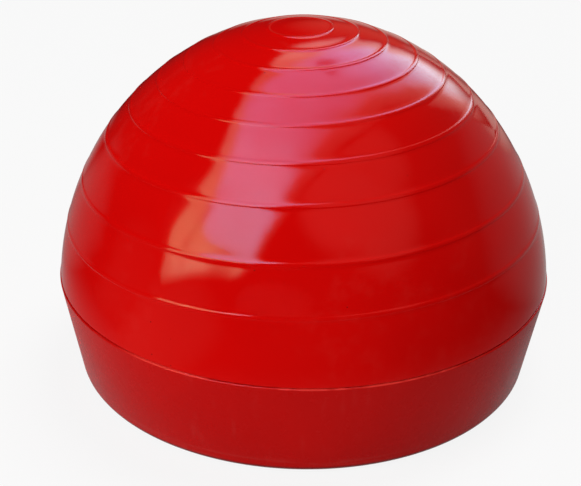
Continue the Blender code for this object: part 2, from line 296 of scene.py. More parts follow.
domeSettings = {
    "fullness": 1.95,
    "cutAbove": 0.022,
    "wall": 0.003,
    "lapRound": 0.0015,
    "lapGap": 0.0003,
    "skirtOuter": 0.2412,
    "beadWidth": 0.008,
    "beadHeight": 0.0055,
    "beadRound": 0.0012,
    "ringSteps": [0.0307, 0.0248, 0.0292, 0.0327, 0.0324, 0.0372, 0.0392, 0.0513, 0.0474],
    "ringWidths": [0.0046, 0.0046, 0.0048, 0.0050, 0.0052, 0.0058, 0.0056, 0.0054, 0.0052],
    "ringRise": 0.0023,
    "ringFall": 0.0011,
    "ringHeight": 0.00042,
    "flankPoints": 4,
    "pillow": 0.00005,
    "leanRight": math.radians(-1.55),
    "leanBack": math.radians(0.54),
    "leanFrom": 0.112,
    "leanWhole": 0.175,
    "swell": 0.0003,
    "swellScale": 2.5,
    "fineSwellScale": 7.0,
    "fineSwellShare": 0.35,
    "sides": 256,
    "longestStep": 0.0034,
    "sharpAngle": 40,  # degrees
}


def wholeForm(settings, radius, lapTop, height):
    # The dome is the upper part of a rounded form: that form's radius, height and middle level, and
    # the angle down it at which the dome's wall ends
    whole = height + settings["cutAbove"]
    cut = math.acos((settings["cutAbove"] / whole) ** (settings["fullness"] / 2))
    return radius / math.sin(cut) ** (2 / settings["fullness"]), whole, lapTop - settings["cutAbove"], cut


def domeOutside(settings, radius, lapTop, height, curvePoints=3000):
    # Fine points down the plain dome with the distance along it of each
    power = 2 / settings["fullness"]
    formRadius, formHeight, level, cut = wholeForm(settings, radius, lapTop, height)
    points = []
    along = 0.0
    for k in range(curvePoints + 1):
        angle = cut * k / curvePoints
        x = formRadius * math.sin(angle) ** power
        z = level + formHeight * math.cos(angle) ** power
        if points:
            along += math.hypot(x - points[-1][0], z - points[-1][1])
        points.append((x, z, along))
    return points


def liftedPoint(curve, distance, lift):
    # The point at a distance down the curve, raised off it by the lift
    whole = curve[-1][2]
    distance = min(max(distance, 0.0), whole)
    low, high = 0, len(curve) - 1
    while high - low > 1:
        middle = (low + high) // 2
        if curve[middle][2] > distance:
            high = middle
        else:
            low = middle
    (x0, z0, a0), (x1, z1, a1) = curve[low], curve[high]
    share = (distance - a0) / (a1 - a0)
    run, rise = (x1 - x0) / (a1 - a0), (z1 - z0) / (a1 - a0)
    x = x0 + (x1 - x0) * share - rise * lift
    z = z0 + (z1 - z0) * share + run * lift
    return (0.0, z) if distance == 0 else (x, z)


def ringStops(settings, start, width):
    # A low ring with a long soft upper flank and a short lower one: (distance, lift) down across it
    count, height = settings["flankPoints"], settings["ringHeight"]
    across = []
    for k in range(1, count + 1):
        across.append((settings["ringRise"] * k / count, height * easeIn(k / count)))
    for k in range(count + 1):
        share = 1 - k / count
        across.append((width - settings["ringFall"] * share, height * easeIn(share)))
    return [(start + run, lift) for run, lift in across]


def domeLine(settings, radius, bottom, crown, lapBottom):
    # The skin's whole outline: down its outside with the rings, round the lap and the skirt's bead, and
    # up its inside
    wall, skirtOuter, beadRound = settings["wall"], settings["skirtOuter"], settings["beadRound"]
    small = wall * 0.15
    lapTop = lapBottom + settings["lapRound"]
    curve = domeOutside(settings, radius, lapTop, crown - lapTop)
    whole = curve[-1][2]
    stops = [(0.0, 0.0)]
    centre = 0.0
    for step, width in zip(settings["ringSteps"], settings["ringWidths"]):
        start, end = stops[-1][0], centre + step - width / 2
        count = math.ceil((end - start) / settings["longestStep"])
        for k in range(1, count + 1):
            share = k / count
            puff = settings["pillow"] * math.sin(math.pi * share) ** 2 if centre else 0.0
            stops.append((start + (end - start) * share, puff))
        centre += step
        stops += ringStops(settings, end, width)
    start = stops[-1][0]
    count = math.ceil((whole - start) / settings["longestStep"])
    stops += [(start + (whole - start) * k / count, 0.0) for k in range(1, count + 1)]
    outside = [liftedPoint(curve, distance, lift) for distance, lift in stops]
    beadInner = skirtOuter - settings["beadWidth"]
    beadTop = bottom + settings["beadHeight"]
    innerRadius = radius - wall
    lapAndSkirt = roundedLine([
        (radius, lapTop, 0),
        (radius, lapBottom, settings["lapRound"] * 0.98),
        (skirtOuter, lapBottom, small),
        (skirtOuter, bottom, beadRound),
        (beadInner, bottom, beadRound),
        (beadInner, beadTop, beadRound),
        (skirtOuter - wall, beadTop, small),
        (skirtOuter - wall, lapBottom + wall, wall),
        (innerRadius, lapBottom + wall, wall * 0.9),
        (innerRadius, lapBottom + wall * 3, 0),
    ])
    innerStart = lapAndSkirt[-1][1] + 0.001
    count = math.ceil(whole / (settings["longestStep"] * 3))
    inside = [liftedPoint(curve, whole * k / count, -wall) for k in range(count, -1, -1)]
    return outside + lapAndSkirt[1:] + [point for point in inside if point[1] > innerStart]


def leanAndSwell(piece, settings, radius, height, level):
    # The mould's axis leans a little on the base, and the blown skin is never quite even.
    # Each point slides over the dome's own rounded form, so the outline stays where it is.
    lean = Matrix.Rotation(settings["leanRight"], 4, "Y")
    lean = lean @ Matrix.Rotation(-settings["leanBack"], 4, "X")
    middle = Vector((0, 0, level))
    fullness = settings["fullness"]

    def fullSize(place):
        flat = math.hypot(place.x, place.y) / radius
        return (flat ** fullness + (abs(place.z) / height) ** fullness) ** (1 / fullness)

    for v in piece.data.vertices:
        share = (v.co.z - settings["leanFrom"]) / (settings["leanWhole"] - settings["leanFrom"])
        if share <= 0:
            continue
        share = easeIn(min(share, 1.0))
        place = v.co - middle
        moved = place.lerp(lean @ place, share)
        moved *= fullSize(place) / fullSize(moved)
        out = moved.normalized()
        swell = noise.noise(out * settings["swellScale"])
        swell += settings["fineSwellShare"] * noise.noise(out * settings["fineSwellScale"])
        v.co = middle + moved + out * (swell * settings["swell"] * share)


def makeDome(material):
    settings = domeSettings
    low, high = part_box("dome_skin")
    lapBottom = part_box("base_pan")[1].z + settings["lapGap"]
    points = domeLine(settings, high.x, low.z, high.z, lapBottom)
    dome = spunPiece("ringed_vinyl_dome", points, settings["sides"])
    widest = lapBottom + settings["lapRound"]
    formRadius, formHeight, level, _ = wholeForm(settings, high.x, widest, high.z - widest)
    leanAndSwell(dome, settings, formRadius, formHeight, level)
    smoothByAngle(dome, settings["sharpAngle"])
    finishPiece(dome, "trainer", "dome_vinyl", material, "dome_skin")


# Base pan: a tapered band with an inner ledge, a floor, a pump well, screw pillars and ribs

panSettings = {
    "bandTop": 0.2503,
    "drawIn": 0.0188,
    "rimWidth": 0.0088,
    "rimRound": 0.0015,
    "wall": 0.004,
    "floor": 0.004,
    "cornerRound": 0.008,
    "innerRound": 0.004,
    "ledgeWidth": 0.0155,
    "ledgeThickness": 0.004,
    "ledgeTop": 0.084,
    "haunch": 0.010,
    "wellRadius": 0.035,
    "mouthRound": 0.0015,
    "screwHead": 0.005,
    "pillarRadius": 0.009,
    "boreRadius": 0.0062,
    "boreMouth": 0.0008,
    "webBottom": 0.074,
    "screwHole": 0.0027,
    "footPocket": 0.0123,
    "pocketDepth": 0.0018,
    "pocketMouth": 0.0004,
    "ribThickness": 0.003,
    "ribHeight": 0.012,
    "ribRound": 0.0006,
    "cutMargin": 0.001,
    "count": 8,
    "sides": 256,
}


def panLine(settings, bottom, rimTop, bandTop):
    wall, well, ledgeTop = settings["wall"], settings["wellRadius"], settings["ledgeTop"]
    mouth = settings["mouthRound"]
    small = mouth * 0.3
    bore = bandTop - settings["rimWidth"]
    ledgeInner = bore - settings["ledgeWidth"]
    floorTop = bottom + settings["floor"]
    ledgeUnder = ledgeTop - settings["ledgeThickness"]
    haunch = ledgeUnder - settings["haunch"]

    def bandAt(level):
        return bandTop - settings["drawIn"] * (rimTop - level) / (rimTop - bottom)

    corners = [
        (bore, rimTop, settings["rimRound"] * 0.4),
        (bandTop, rimTop, settings["rimRound"]),
        (bandAt(bottom), bottom, settings["cornerRound"]),
        (well, bottom, mouth),
        (well, ledgeTop, small),
        (well + wall, ledgeTop, small),
        (well + wall, floorTop, mouth),
        (bandAt(floorTop) - wall, floorTop, settings["innerRound"]),
        (bandAt(haunch) - wall, haunch, mouth),
        (ledgeInner, ledgeUnder, mouth * 0.5),
        (ledgeInner, ledgeTop, small),
        (bore, ledgeTop, small),
    ]
    return roundedLine(corners, closed=True, steps=5)


def uprightRod(name, radius, bottom, top, place, sides=48, mouth=0.0):
    # A cylinder to join or to cut with. With a mouth its foot flares out just above its end.
    margin = panSettings["cutMargin"]
    clearSelection()
    middle = (*place, (bottom + top) / 2)
    bpy.ops.mesh.primitive_cylinder_add(vertices=sides, radius=radius, depth=top - bottom, location=middle)
    rod = bpy.context.object
    rod.name = name
    applyPlace()
    if mouth:
        startEdit("DESELECT")
        bpy.ops.mesh.select_mode(type="FACE")
        endEdit()
        for face in rod.data.polygons:
            face.select = face.normal.z < -0.9
        bpy.ops.object.mode_set(mode="EDIT")
        bpy.ops.transform.translate(value=(0, 0, mouth + margin))
        flare = 1 + mouth / radius
        bpy.ops.mesh.extrude_region_move(TRANSFORM_OT_translate={"value": (0, 0, -mouth)})
        bpy.ops.transform.resize(value=(flare, flare, 1), center_override=(*place, bottom))
        bpy.ops.mesh.extrude_region_move(TRANSFORM_OT_translate={"value": (0, 0, -margin)})
        bpy.ops.mesh.select_mode(type="VERT")
        endEdit()
    return rod


def ribBar(settings, bandTop, bottom):
    # One rib, standing on the floor between the pump well and the band
    clearSelection()
    low = bottom + settings["floor"] / 2
    high = bottom + settings["floor"] + settings["ribHeight"]
    start = settings["wellRadius"] + settings["wall"] / 2
    end = bandTop - settings["drawIn"] - settings["wall"] / 2
    bpy.ops.mesh.primitive_cube_add(
        size=1,
        location=((start + end) / 2, 0, (low + high) / 2),
        scale=(end - start, settings["ribThickness"], high - low),
    )
    rib = bpy.context.object
    rib.name = "rib"
    applyPlace()
    topEdges = rib.modifiers.new("topEdges", "BEVEL")
    topEdges.width = settings["ribRound"]
    topEdges.segments = 2
    bpy.ops.object.modifier_apply(modifier=topEdges.name)
    return rib


def makePan(material):
    low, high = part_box("base_pan")
    settings = panSettings
    bandTop, ledgeTop, web = settings["bandTop"], settings["ledgeTop"], settings["webBottom"]
    outline = panLine(settings, low.z, high.z, bandTop)
    pan = spunPiece("tapered_base_pan", outline, settings["sides"], True)
    pillarAt = (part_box("deck_screw_1")[1].x - settings["screwHead"], 0.0)
    footAt = middleOf("rubber_foot_1")
    margin = settings["cutMargin"]
    inFloor, below = low.z + settings["floor"] / 2, low.z - margin

    def changeAllRound(operation, one):
        cutOrJoin(pan, joinAll(copiesRound(one, settings["count"])), operation)

    def cutRod(name, radius, bottom, top, place, sides=48, mouth=0.0):
        changeAllRound("DIFFERENCE", uprightRod(name, radius, bottom, top, place, sides, mouth))

    changeAllRound("UNION", ribBar(settings, bandTop, low.z))
    changeAllRound("UNION", uprightRod("pillar", settings["pillarRadius"], inFloor, ledgeTop, pillarAt))
    cutRod("bore", settings["boreRadius"], below, web, pillarAt, mouth=settings["boreMouth"])
    cutRod("screwHole", settings["screwHole"], web - margin, ledgeTop + margin, pillarAt, sides=32)
    pocketTop = low.z + settings["pocketDepth"]
    cutRod("pocket", settings["footPocket"], below, pocketTop, footAt, mouth=settings["pocketMouth"])
    smoothByAngle(pan)
    finishPiece(pan, "trainer", "base_plastic", material, "base_pan")


# Valve: a milky vinyl seat welded in the chamber's floor and a stopper that pulls out downwards

valveSettings = {
    "seatBore": 0.005,
    "neckRadius": 0.008,
    "flangeThickness": 0.0015,
    "edgeRound": 0.0005,
    "seatSides": 72,
    "stopperGap": 0.0003,
    "stemLength": 0.016,
    "stemGrooves": 3,
    "grooveDepth": 0.00025,
    "grooveHalf": 0.0007,
    "grooveRounds": (0.0003, 0.0004),  # at its edges and in its bed
    "tipTaper": 0.003,
    "tipDrawIn": 0.0008,
    "tipRounds": (0.0005, 0.001),
    "headRadius": 0.010,
    "headThickness": 0.0025,
    "headRounds": (0.0004, 0.0007, 0.0009, 0.0008),  # from the stem over the head to the grip
    "gripRadius": 0.005,
    "gripRound": 0.0009,
    "gripFlutes": 12,
    "fluteDepth": 0.0005,
    "fluteGap": 0.0012,
    "dimple": 0.0005,
    "dimpleRadius": 0.00175,
    "dimpleSlope": 0.0005,
    "dimpleRound": 0.0002,
    "plugSides": 96,
}


def makeSeat(material):
    low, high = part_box("valve_seat")
    settings = valveSettings
    flangeBottom = high.z - settings["flangeThickness"]
    bore, neck, edge = settings["seatBore"], settings["neckRadius"], settings["edgeRound"]
    corners = [
        (bore, high.z, edge),
        (high.x, high.z, edge * 1.4),
        (high.x, flangeBottom, edge * 0.6),
        (neck, flangeBottom, edge),
        (neck, low.z, edge * 1.6),
        (bore, low.z, edge),
    ]
    seat = spunPiece("valve_seat_sleeve", roundedLine(corners, True), settings["seatSides"], True)
    finishPiece(seat, "trainer", "valve_vinyl", material, "valve_seat")


def makePlug(material):
    low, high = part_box("valve_plug")
    settings = valveSettings
    seat = high.z - settings["stemLength"]
    stem = settings["seatBore"] - settings["stopperGap"]
    head, headBottom = settings["headRadius"], seat - settings["headThickness"]
    grip, dimpleTop = settings["gripRadius"], low.z + settings["dimple"]
    half, taperBottom = settings["grooveHalf"], high.z - settings["tipTaper"]
    tipRound, taperRound = settings["tipRounds"]
    edgeRound, bedRound = settings["grooveRounds"]
    atStem, onTop, below, atGrip = settings["headRounds"]
    dimple, dimpleRound = settings["dimpleRadius"], settings["dimpleRound"]
    corners = [
        (0, high.z, 0),
        (stem - settings["tipDrawIn"], high.z, tipRound),
        (stem, taperBottom, taperRound),
    ]
    pitch = (taperBottom - seat) / (settings["stemGrooves"] + 1)
    for k in range(settings["stemGrooves"]):
        level = taperBottom - pitch * (k + 1)
        corners += [
            (stem, level + half, edgeRound),
            (stem - settings["grooveDepth"], level, bedRound),
            (stem, level - half, edgeRound),
        ]
    corners += [
        (stem, seat, atStem),
        (head, seat, onTop),
        (head, headBottom, below),
        (grip, headBottom, atGrip),
        (grip, low.z, settings["gripRound"]),
        (dimple + settings["dimpleSlope"], low.z, dimpleRound),
        (dimple, dimpleTop, dimpleRound),
        (0, dimpleTop, 0),
    ]
    plug = spunPiece("pull_out_valve_plug", roundedLine(corners, False, 3), settings["plugSides"])
    # Finger flutes round the grip
    for v in plug.data.vertices:
        reach = math.hypot(v.co.x, v.co.y)
        if v.co.z < headBottom - settings["fluteGap"] and reach > grip * 0.8:
            angle = math.atan2(v.co.y, v.co.x)
            dip = max(0.0, math.cos(angle * settings["gripFlutes"])) * settings["fluteDepth"]
            v.co.x *= 1 - dip / reach
            v.co.y *= 1 - dip / reach
    finishPiece(plug, "plug", "plug_plastic", material, "valve_plug")


# Deck screws: zinc-plated pan-head screws, point up

screwSettings = {
    "count": 8,
    "shank": 0.0024,
    "neck": 0.00228,
    "neckLength": 0.003,
    "core": 0.0018,
    "pitch": 0.0016,
    "point": 0.003,
    "headRadius": 0.005,
    "headHeight": 0.003,
    "headSide": 0.00165,
    "headTop": 0.0036,
    "headRounds": (0.0003, 0.0005, 0.0012),  # from under the head to its crown
    "crossReach": 0.0027,
    "crossWidth": 0.0009,
    "crossDepth": 0.0017,
    "crossTaper": (0.8, 0.55),
    "sides": 40,
}


def makeScrews(material):
    settings = screwSettings
    low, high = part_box("deck_screw_1")
    core, shank, neck, pitch = (settings[key] for key in ("core", "shank", "neck", "pitch"))
    head, seat = settings["headRadius"], low.z + settings["headHeight"]
    underRound, edgeRound, crownRound = settings["headRounds"]
    corners = [(0, high.z, 0), (core * 0.5, high.z - settings["point"] * 0.5, 0)]
    level = high.z - settings["point"]
    while level - pitch > seat + settings["neckLength"]:
        corners += [(core, level, 0), (shank, level - pitch * 0.5, 0)]
        level -= pitch
    corners += [
        (core, level, 0),
        (neck, level - pitch * 0.5, 0),
        (neck, seat, 0),
        (head, seat, underRound),
        (head, low.z + settings["headSide"], edgeRound),
        (settings["headTop"], low.z, crownRound),
        (0, low.z, 0),
    ]
    first = spunPiece("pan_head_screw_1", roundedLine(corners, False, 3), settings["sides"])
    # The cross recess: two bars that narrow inwards, one along each axis
    long, wide, deep = settings["crossReach"] * 2, settings["crossWidth"], settings["crossDepth"] * 2
    across, along = settings["crossTaper"]
    for size, taper in (((wide, long, deep), (across, along)), ((long, wide, deep), (along, across))):
        clearSelection()
        bpy.ops.mesh.primitive_cube_add(size=1, location=(0, 0, low.z), scale=size)
        cutter = bpy.context.object
        cutter.name = "crossCutter"
        applyPlace()
        for v in cutter.data.vertices:
            if v.co.z > low.z:
                v.co.x *= taper[0]
                v.co.y *= taper[1]
        cutOrJoin(first, cutter, "DIFFERENCE")
    smoothByAngle(first)
    placeRound(first, "deck_screw", "screw_steel", material, settings["count"])


# Rubber feet: round pads with a grooved sole, sunk in pockets under the pan

footSettings = {
    "count": 8,
    "radius": 0.012,
    "topRound": 0.0003,
    "edgeRound": 0.001,
    "grooves": [0.0045, 0.0080],
    "grooveWidth": 0.0008,
    "grooveBed": 0.00048,
    "grooveDepth": 0.0005,
    "grooveRound": 0.0002,
    "sides": 64,
}


def makeFeet(material):
    settings = footSettings
    low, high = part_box("rubber_foot_1")
    radius, rounding = settings["radius"], settings["grooveRound"]
    half, bedHalf = settings["grooveWidth"] / 2, settings["grooveBed"] / 2
    bed = low.z + settings["grooveDepth"]
    corners = [
        (0, high.z, 0),
        (radius, high.z, settings["topRound"]),
        (radius, low.z, settings["edgeRound"]),
    ]
    for reach in reversed(settings["grooves"]):
        corners += [(reach + half, low.z, rounding), (reach + bedHalf, bed, 0)]
        corners += [(reach - bedHalf, bed, 0), (reach - half, low.z, rounding)]
    corners.append((0, low.z, 0))
    first = spunPiece("rubber_foot_pad_1", roundedLine(corners), settings["sides"])
    placeRound(first, "rubber_foot", "foot_rubber", material, settings["count"])


# Materials

def finishMaterial(material, shader, colour, roughness, normal, specular=0.5):
    join(colour, shader.inputs["Base Color"])
    join(roughness, shader.inputs["Roughness"])
    join(normal, shader.inputs["Normal"])
    shader.inputs["Specular IOR Level"].default_value = specular
    return material


vinylLook = {
    "red": (0.625, 0.0020, 0.0014, 1),
    "deepRed": (0.575, 0.0013, 0.0010, 1),
    "dust": (0.62, 0.06, 0.05, 1),
    "speck": (0.10, 0.002, 0.002, 1),
    "specular": 0.10,
    "roughness": (0.080, 0.125),
    "patchScale": 5.0,
    "dustScale": 60.0,
    "dustShare": 0.05,
    "glossScale": 14.0,
    "waveScale": 11.0,
    "waveDepth": 0.00035,
    "peelScale": 260.0,
    "peelDepth": 0.000012,
    "speckScale": 52.0,
    "speckChoice": (0.64, 0.66),  # which cells hold a speck
    "speckSize": 0.045,
    "speckShare": 0.75,
    "speckRise": 0.00012,
}


def glossyRedVinyl():
    look = vinylLook
    material, shader = startMaterial("glossy_red_vinyl")
    place = objectPlace()
    broad = noiseAt(place, look["patchScale"], 2.0)
    fine = noiseAt(place, look["dustScale"], 5.0, 0.6)
    colour = mixColours(remap(broad, 0.35, 0.65), look["deepRed"], look["red"])
    dust = remap(times(fine, broad), 0.30, 0.42, 0.0, look["dustShare"])
    colour = mixColours(dust, colour, look["dust"])
    # Specks: the middles of some of the cells
    cells = addNode("TexVoronoi", {"Vector": place, "Scale": look["speckScale"]})
    chosen = remap(firstOf(cells.outputs["Color"]), *look["speckChoice"])
    size = look["speckSize"]
    dot = times(remap(cells.outputs["Distance"], size * 0.5, size, 1.0, 0.0), chosen)
    colour = mixColours(times(dot, look["speckShare"]), colour, look["speck"])
    rough = remap(noiseAt(place, look["glossScale"], 4.0, 0.6), 0.35, 0.70, *look["roughness"])
    wavy = bumpFrom(noiseAt(place, look["waveScale"], 1.0), look["waveDepth"])
    peel = bumpFrom(noiseAt(place, look["peelScale"], 2.0), look["peelDepth"], under=wavy)
    raised = bumpFrom(dot, look["speckRise"], under=peel)
    return finishMaterial(material, shader, colour, rough, raised, look["specular"])


plasticLook = {
    "red": (0.520, 0.0030, 0.0024, 1),
    "deepRed": (0.480, 0.0026, 0.0022, 1),
    "scuff": (0.56, 0.09, 0.08, 1),
    # The paler red painted on the rim's edge as a highlight
    "paintedRimHighlight": (0.80, 0.045, 0.035, 1),
    # The dark red painted along the lowest corner as shade
    "paintedCornerShade": (0.10, 0.004, 0.005, 1),
    "specular": 0.085,
    "roughness": (0.22, 0.32),
    "patchScale": 7.0,
    "streakStretch": (90.0, 90.0, 6.0),
    "streakShare": 0.07,
    "scuffLevel": (0.004, 0.020),
    "scuffStretch": (12.0, 12.0, 260.0),
    "scuffShare": 0.5,
    # Where the rim's painted highlight lies, front and back, and the noise that breaks it up
    "rimLevel": (0.1026, 0.1034),
    "rimFront": (-0.180, -0.205),
    "rimShare": (0.06, 1.0),  # at the back and at the front
    "rimHighlightBreakScale": 24.0,
    # Where the painted shade on the lowest corner lies and how dark it is
    "cornerShadeLevel": (0.0060, 0.0092),
    "cornerShadeRadius": (0.2225, 0.2245),
    "cornerShadeShare": 0.80,
    "glossScale": 35.0,
    "grainScale": 900.0,
    "grainDepth": 0.00003,
    "waveScale": 9.0,
    "waveDepth": 0.0004,
}


def satinRedPlastic():
    look = plasticLook
    material, shader = startMaterial("satin_red_plastic")
    place = objectPlace()
    level = partOf(place, "Z")
    broad = noiseAt(place, look["patchScale"])
    colour = mixColours(remap(broad, 0.35, 0.65), look["deepRed"], look["red"])
    upright = noiseAt(objectPlace(look["streakStretch"]), 1.0, 3.0, 0.6)
    streak = remap(upright, 0.60, 0.75, 0.0, look["streakShare"])
    colour = mixColours(streak, colour, look["scuff"])
    # Scuffed level lines just above the floor
    across = noiseAt(objectPlace(look["scuffStretch"]), 1.0, 4.0, 0.7)
    scuffWearAndRimHighlight = remap(across, 0.5, 0.7, 0.0, look["scuffShare"])
    nearFloor = remap(level, *look["scuffLevel"], 1.0, 0.0)
    colour = mixColours(times(scuffWearAndRimHighlight, nearFloor), colour, look["scuff"])
    # A painted highlight: the rim is painted a paler red where it shows under the dome's lap, most of all at
    # the front, broken up by noise
    atRim = remap(level, *look["rimLevel"])
    front = remap(partOf(place, "Y"), *look["rimFront"], *look["rimShare"])
    rimHighlightBreaks = remap(noiseAt(place, look["rimHighlightBreakScale"], 4.0, 0.6), 0.40, 0.52, 0.15, 1.0)
    scuffWearAndRimHighlight = times(times(atRim, front), rimHighlightBreaks)
    colour = mixColours(scuffWearAndRimHighlight, colour, look["paintedRimHighlight"])
    # Painted shade on the lowest corner, but not on the flat underside
    atFloor = remap(level, *look["cornerShadeLevel"], look["cornerShadeShare"], 0.0)
    outward = vectorCalc("LENGTH", objectPlace((1, 1, 0)))
    cornerShade = times(atFloor, remap(outward, *look["cornerShadeRadius"]))
    colour = mixColours(cornerShade, colour, look["paintedCornerShade"])
    rough = remap(noiseAt(place, look["glossScale"], 5.0, 0.7), 0.3, 0.7, *look["roughness"])
    grain = bumpFrom(noiseAt(place, look["grainScale"], 3.0, 0.6), look["grainDepth"], 0.8)
    wavy = bumpFrom(noiseAt(place, look["waveScale"], 1.0), look["waveDepth"], under=grain)
    return finishMaterial(material, shader, colour, rough, wavy, look["specular"])


mouldedScales = {"patch": 90.0, "gloss": 400.0, "grain": 2200.0}
mouldedLooks = {
    # Colour, the shade of its patches, roughness from and to, specular level, depth of the grain
    "milky_soft_vinyl": ((0.72, 0.70, 0.64, 1), (0.66, 0.64, 0.57, 1), (0.32, 0.46), 0.4, 0.00001),
    "white_moulded_plastic": ((0.84, 0.84, 0.82, 1), (0.78, 0.78, 0.75, 1), (0.26, 0.38), 0.5, 0.00001),
    "black_foot_rubber": ((0.022, 0.022, 0.023, 1), (0.034, 0.033, 0.032, 1), (0.60, 0.85), 0.3, 0.00003),
}


def mouldedPlastic(name):
    # Moulded pieces with a fine grain and slightly uneven colour
    colour, shade, roughness, specular, grain = mouldedLooks[name]
    material, shader = startMaterial(name)
    place = objectPlace()
    cloud = remap(noiseAt(place, mouldedScales["patch"], 4.0), 0.35, 0.65)
    uneven = mixColours(cloud, shade, colour)
    rough = remap(noiseAt(place, mouldedScales["gloss"], 4.0, 0.7), 0.3, 0.7, *roughness)
    surface = bumpFrom(noiseAt(place, mouldedScales["grain"]), grain)
    return finishMaterial(material, shader, uneven, rough, surface, specular)


plywoodLook = {
    "pale": (0.62, 0.44, 0.25, 1),
    "dark": (0.42, 0.26, 0.13, 1),
    "end": (0.33, 0.19, 0.09, 1),
    "ply": 0.00143,
    "plyShare": 0.8,
    "grainStretch": (9.0, 160.0, 160.0),
    "figureStretch": (2.5, 22.0, 22.0),
    "roughness": (0.50, 0.72),
    "grainDepth": 0.00015,
}


def birchPlywood():
    look = plywoodLook
    material, shader = startMaterial("sanded_plywood")
    place = objectPlace()
    grain = noiseAt(objectPlace(look["grainStretch"]), 1.0, 5.0, 0.6)
    figure = noiseAt(objectPlace(look["figureStretch"]), 1.0)
    streak = calc("ADD", times(grain, 0.6), times(figure, 0.5))
    colour = mixColours(remap(streak, 0.42, 0.68), look["pale"], look["dark"])
    # Darker plies, on the board's edge alone
    layer = calc("PINGPONG", partOf(place, "Z"), look["ply"])
    layer = remap(layer, look["ply"] * 0.45, look["ply"] * 0.55)
    upright = partOf(addNode("NewGeometry").outputs["Normal"], "Z")
    side = remap(calc("ABSOLUTE", upright), 0.3, 0.6, 1.0, 0.0)
    layer = times(times(layer, side), look["plyShare"])
    colour = mixColours(layer, colour, look["end"])
    rough = remap(grain, 0.3, 0.7, *look["roughness"])
    surface = bumpFrom(grain, look["grainDepth"], 0.7)
    return finishMaterial(material, shader, colour, rough, surface)


zincLook = {
    "bright": (0.66, 0.65, 0.62, 1),
    "dull": (0.48, 0.48, 0.50, 1),
    "patchScale": 260.0,
    "glossScale": 900.0,
    "roughness": (0.26, 0.44),
    "turningStretch": (300.0, 300.0, 4000.0),
    "turningDepth": 0.00002,
}


def zincSteel():
    look = zincLook
    material, shader = startMaterial("zinc_plated_steel")
    shader.inputs["Metallic"].default_value = 1.0
    place = objectPlace()
    cloud = remap(noiseAt(place, look["patchScale"], 4.0, 0.6), 0.35, 0.70)
    colour = mixColours(cloud, look["bright"], look["dull"])
    rough = remap(noiseAt(place, look["glossScale"]), 0.3, 0.7, *look["roughness"])
    turned = noiseAt(objectPlace(look["turningStretch"]), 1.0)
    surface = bumpFrom(turned, look["turningDepth"])
    return finishMaterial(material, shader, colour, rough, surface)


# Studio: a pale floor, plain lamps, and the window and dark room that only the gloss sees

studioSettings = {
    "middle": (0.0, 0.0, 0.125),
    "pale": (0.933, 0.933, 0.933, 1),
    "ambient": 0.04,
    "floorSize": 14.0,
    "floorLight": (0.968, 0.968, 0.968, 1),
    "floorPaint": (0.80, 0.80, 0.80, 1),
    "floorBounce": (0.42, 0.41, 0.41, 1),
    "ownShade": 0.09,
}


def headingVector(azimuth, elevation):
    # Degrees clockwise from the back, and up
    a, e = math.radians(azimuth), math.radians(elevation)
    return Vector((math.sin(a) * math.cos(e), math.cos(a) * math.cos(e), math.sin(e)))


def overheadVector(right, back):
    # Degrees from straight overhead
    return headingVector(math.degrees(math.atan2(right, back)), 90 - math.hypot(right, back))


def seenOnlyInGloss(item):
    for rays in ("camera", "diffuse", "transmission", "volume_scatter", "shadow"):
        setattr(item, "visible_" + rays, False)


def glowMaterial(name):
    material, glow = startMaterial(name, "Emission")
    material.cycles.emission_sampling = "NONE"
    return material, glow


def rampOf(value, stops):
    ramp = addNode("ValToRGB", {"Fac": value})
    elements = ramp.color_ramp.elements
    while len(elements) < len(stops):
        elements.new(0.5)
    for element, (position, colour) in zip(elements, stops):
        element.position = position
        element.color = (*colour, 1)
    return ramp.outputs["Color"]


def levelRamp(value, stops, top=1.0):
    # A ramp of plain numbers, none of them above the top
    ramp = rampOf(value, [(at, (level / top,) * 3) for at, level in stops])
    return times(firstOf(ramp), top)


